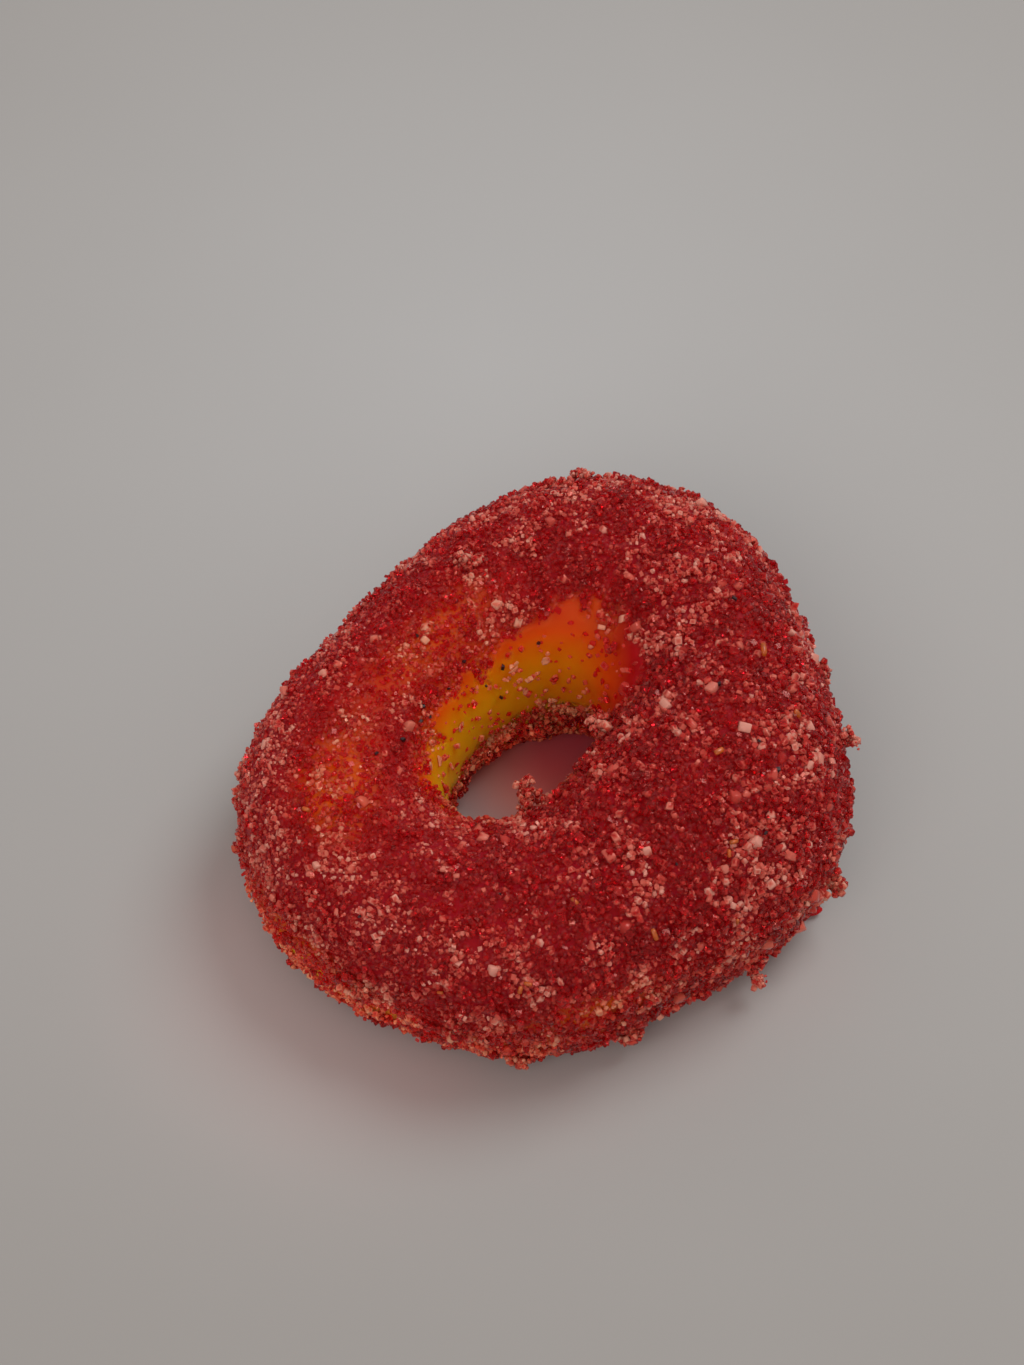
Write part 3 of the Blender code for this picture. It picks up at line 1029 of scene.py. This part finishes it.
def makeFloor():
    shape = bmesh.new()
    bmesh.ops.create_circle(shape, cap_ends=True, segments=96, radius=studio["floorSize"] / 2)
    mesh = bpy.data.meshes.new("table")
    shape.to_mesh(mesh)
    shape.free()
    material, nodes, links, shader = newMaterial("table")
    # painted light: the table's colour is painted paler in a pool of light and darker away from it
    (right, away), reach = studio["paintedLightPool"]
    fade = addRamp(nodes, ((0.0, studio["floorColour"]), (1.0, studio["paintedFalloffColour"])))
    apart = addDistance(nodes, links, inFrame(right, away, 0))
    links.new(addRange(nodes, links, apart, 0.0, reach), fade.inputs["Fac"])
    # painted light: the red light that the gel lets fall on the table in the hole is painted into the
    # table's colour
    red = addRamp(nodes, studio["paintedRedLightStops"])
    apart = addDistance(nodes, links, studio["paintedRedLightSpot"])
    links.new(addRange(nodes, links, apart, 0.0, studio["paintedRedLightReach"]), red.inputs["Fac"])
    low, high = studio["mottleFade"]
    mottle = addRamp(nodes, ((low, (studio["floorMottle"],) * 3), (high, (1.0, 1.0, 1.0))))
    clouds = addNoise(nodes, links, studio["mottleScale"], detail=5)
    links.new(clouds.outputs["Fac"], mottle.inputs["Fac"])
    colour = multiplied(nodes, links, fade.outputs["Color"], red.outputs["Color"])
    colour = multiplied(nodes, links, colour, mottle.outputs["Color"])
    links.new(colour, shader.inputs["Base Color"])
    shader.inputs["Roughness"].default_value = studio["floorRoughness"]
    shader.inputs["Specular IOR Level"].default_value = studio["floorShine"]
    meshObject("table", mesh, material)


def makeCamera():
    direction = math.radians(view["azimuth"]), math.radians(view["elevation"])
    out = Vector((
        math.sin(direction[0]) * math.cos(direction[1]),
        -math.cos(direction[0]) * math.cos(direction[1]),
        math.sin(direction[1]),
    ))
    right, away, up = (value / 1000 for value in view["aimFromRing"])
    aim = inFrame(right, away, up) + Vector((*ringForm["middle"], 0))
    data = bpy.data.cameras.new("camera")
    camera = bpy.data.objects.new("camera", data)
    bpy.context.scene.collection.objects.link(camera)
    camera.location = aim + out * view["distance"]
    width, height = view["imagePixels"]
    focal = view["pixelsPerMetre"] * view["distance"]
    pan = math.atan((view["aimPixel"][0] - width / 2) / focal)
    tip = math.atan((view["aimPixel"][1] - height / 2) / focal)
    straight = (-out).to_track_quat("-Z", "Y").to_matrix()
    turned = straight @ Matrix.Rotation(tip, 3, "X") @ Matrix.Rotation(pan, 3, "Y")
    camera.rotation_euler = turned.to_euler()
    data.sensor_fit = "VERTICAL"
    data.sensor_height = 24.0
    data.lens = data.sensor_height * focal / height
    data.clip_start = 0.005
    data.clip_end = 10
    bpy.context.scene.camera = camera


def makeStudio():
    makeFloor()
    makeCamera()
    for name in ("key", "fill"):
        areaLight(
            name, inFrame(*studio[name + "Place"]), (0, 0, 0.005),
            studio[name + "Size"], studio[name + "Power"], studio[name + "Colour"],
        )
    makeGlow()
    world = bpy.data.worlds.new("sky")
    bpy.context.scene.world = world
    world.use_nodes = True
    background = world.node_tree.nodes["Background"]
    background.inputs["Color"].default_value = (*studio["skyColour"], 1)
    background.inputs["Strength"].default_value = studio["skyStrength"]
    bpy.context.scene.view_settings.view_transform = "Standard"
    bpy.context.scene.cycles.max_bounces = 8
    bpy.context.scene.cycles.transmission_bounces = 6


makeStudio()
print("studio ready")

body = makeGel()
gelPieces = [body, makeScrap(body.data.materials[0])]
print(f"gel ready, {len(body.data.polygons)} faces")

sugar = sugarMaterial()
sugarPieces = makeSugar(sugar)
sugarPieces.append(makeBits("clear_flakes", sugar))
sugarPieces.append(makeBits("dark_specks", bitMaterial("painted_gap_shade")))
gelPieces.append(makeBits("orange_bits", bitMaterial("orange_gel")))
print("sugar ready")

for slot, pieces in (("gel", gelPieces), ("sugar", sugarPieces)):
    for piece in pieces:
        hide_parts("gummy_ring")
        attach(piece, "root")
